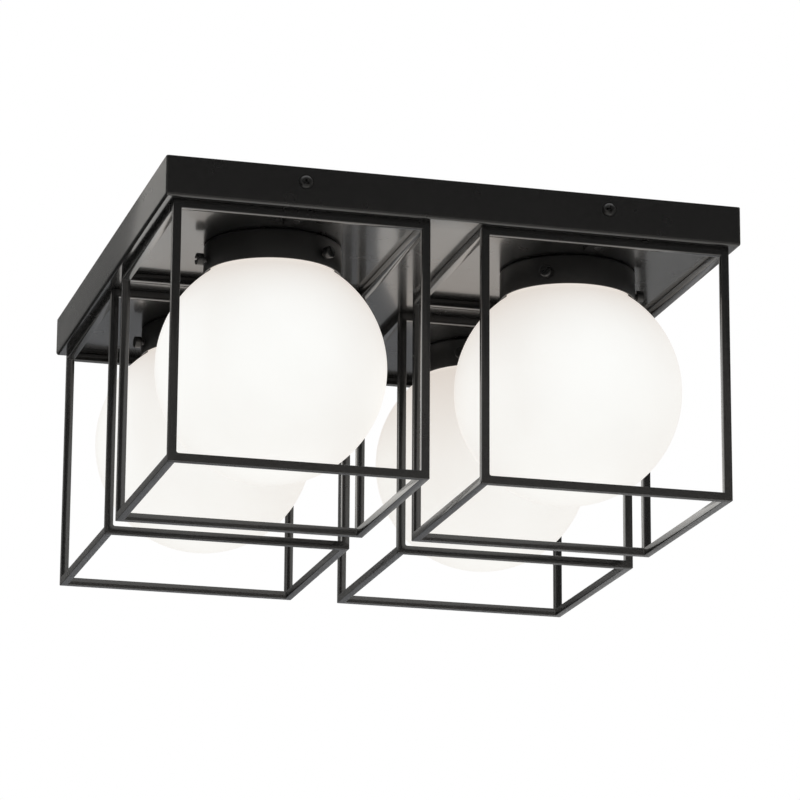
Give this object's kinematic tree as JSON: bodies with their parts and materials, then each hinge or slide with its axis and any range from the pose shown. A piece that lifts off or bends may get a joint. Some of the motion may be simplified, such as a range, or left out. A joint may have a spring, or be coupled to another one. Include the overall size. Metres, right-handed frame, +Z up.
{
  "type": "flush mount ceiling light",
  "caption": "Square sheet canopy on a ceiling box bracket, with opal glass globes hung in lipped cups by thumb screws inside open square bar cages.",
  "frame": {"origin": "middle of the ceiling plane, which is the top of the bracket and of the canopy's rim", "axes": "+Z up into the ceiling, +X to the right and +Y to the rear as seen from the front face with the canopy screws"},
  "size_m": [0.36, 0.3648, 0.185],
  "materials": {
    "black_powder_coat": "satin black powder coat",
    "black_screws": "satin black",
    "opal_glass": "gloss white opal glass",
    "zinc_plate": "bright zinc plate",
    "brass": "plain",
    "porcelain": "white glaze",
    "bulb_glass": "frosted inside",
    "lamp_cap": "plain",
    "green_screw": "green",
    "green_lead": "green insulation",
    "black_lead": "black insulation",
    "white_lead": "white insulation",
    "connector_plastic": "moulded"
  },
  "bodies": {
    "light": {"canopy": "black_powder_coat", "canopy_screws": "black_screws", "cage_screws": "black_screws", "mounting_bracket": "zinc_plate", "ground_screw": "green_screw", "ground_nut": "zinc_plate", "ground_wire": "green_lead", "nipples": "brass", "nipple_washers": "zinc_plate", "nipple_nuts": "brass", "socket_contacts": "brass", "black_leads": "black_lead", "white_leads": "white_lead", "wire_connectors": "connector_plastic", "cage_front_left": "black_powder_coat", "cage_front_right": "black_powder_coat", "cage_rear_left": "black_powder_coat", "cage_rear_right": "black_powder_coat", "holder_front_left": "black_powder_coat", "holder_front_right": "black_powder_coat", "holder_rear_left": "black_powder_coat", "holder_rear_right": "black_powder_coat", "globe_front_left": "opal_glass", "globe_front_right": "opal_glass", "globe_rear_left": "opal_glass", "globe_rear_right": "opal_glass", "socket_front_left": "porcelain", "socket_front_right": "porcelain", "socket_rear_left": "porcelain", "socket_rear_right": "porcelain", "screw_shell_front_left": "brass", "screw_shell_front_right": "brass", "screw_shell_rear_left": "brass", "screw_shell_rear_right": "brass", "bulb_front_left": "bulb_glass", "bulb_front_right": "bulb_glass", "bulb_rear_left": "bulb_glass", "bulb_rear_right": "bulb_glass", "lamp_cap_front_left": "lamp_cap", "lamp_cap_front_right": "lamp_cap", "lamp_cap_rear_left": "lamp_cap", "lamp_cap_rear_right": "lamp_cap"},
    "thumb_screw_front_left_1": {"thumb_screw_front_left_1": "black_screws"},
    "thumb_screw_front_left_2": {"thumb_screw_front_left_2": "black_screws"},
    "thumb_screw_front_left_3": {"thumb_screw_front_left_3": "black_screws"},
    "thumb_screw_front_right_1": {"thumb_screw_front_right_1": "black_screws"},
    "thumb_screw_front_right_2": {"thumb_screw_front_right_2": "black_screws"},
    "thumb_screw_front_right_3": {"thumb_screw_front_right_3": "black_screws"},
    "thumb_screw_rear_left_1": {"thumb_screw_rear_left_1": "black_screws"},
    "thumb_screw_rear_left_2": {"thumb_screw_rear_left_2": "black_screws"},
    "thumb_screw_rear_left_3": {"thumb_screw_rear_left_3": "black_screws"},
    "thumb_screw_rear_right_1": {"thumb_screw_rear_right_1": "black_screws"},
    "thumb_screw_rear_right_2": {"thumb_screw_rear_right_2": "black_screws"},
    "thumb_screw_rear_right_3": {"thumb_screw_rear_right_3": "black_screws"}
  },
  "joints": [
    {"name": "thumb_screw_front_left_1_out", "type": "slide", "parent": "light", "child": "thumb_screw_front_left_1", "axis": [-0.9976, -0.0698, 0], "range_m": [0, 0.0032]},
    {"name": "thumb_screw_front_left_2_out", "type": "slide", "parent": "light", "child": "thumb_screw_front_left_2", "axis": [0.5592, -0.829, 0], "range_m": [0, 0.0032]},
    {"name": "thumb_screw_front_left_3_out", "type": "slide", "parent": "light", "child": "thumb_screw_front_left_3", "axis": [0.4384, 0.8988, 0], "range_m": [0, 0.0032]},
    {"name": "thumb_screw_front_right_1_out", "type": "slide", "parent": "light", "child": "thumb_screw_front_right_1", "axis": [-0.5592, -0.829, 0], "range_m": [0, 0.0032]},
    {"name": "thumb_screw_front_right_2_out", "type": "slide", "parent": "light", "child": "thumb_screw_front_right_2", "axis": [0.9976, -0.0698, 0], "range_m": [0, 0.0032]},
    {"name": "thumb_screw_front_right_3_out", "type": "slide", "parent": "light", "child": "thumb_screw_front_right_3", "axis": [-0.4384, 0.8988, 0], "range_m": [0, 0.0032]},
    {"name": "thumb_screw_rear_left_1_out", "type": "slide", "parent": "light", "child": "thumb_screw_rear_left_1", "axis": [-0.9976, -0.0698, 0], "range_m": [0, 0.0032]},
    {"name": "thumb_screw_rear_left_2_out", "type": "slide", "parent": "light", "child": "thumb_screw_rear_left_2", "axis": [0.5592, -0.829, 0], "range_m": [0, 0.0032]},
    {"name": "thumb_screw_rear_left_3_out", "type": "slide", "parent": "light", "child": "thumb_screw_rear_left_3", "axis": [0.4384, 0.8988, 0], "range_m": [0, 0.0032]},
    {"name": "thumb_screw_rear_right_1_out", "type": "slide", "parent": "light", "child": "thumb_screw_rear_right_1", "axis": [-0.5592, -0.829, 0], "range_m": [0, 0.0032]},
    {"name": "thumb_screw_rear_right_2_out", "type": "slide", "parent": "light", "child": "thumb_screw_rear_right_2", "axis": [0.9976, -0.0698, 0], "range_m": [0, 0.0032]},
    {"name": "thumb_screw_rear_right_3_out", "type": "slide", "parent": "light", "child": "thumb_screw_rear_right_3", "axis": [-0.4384, 0.8988, 0], "range_m": [0, 0.0032]}
  ]
}
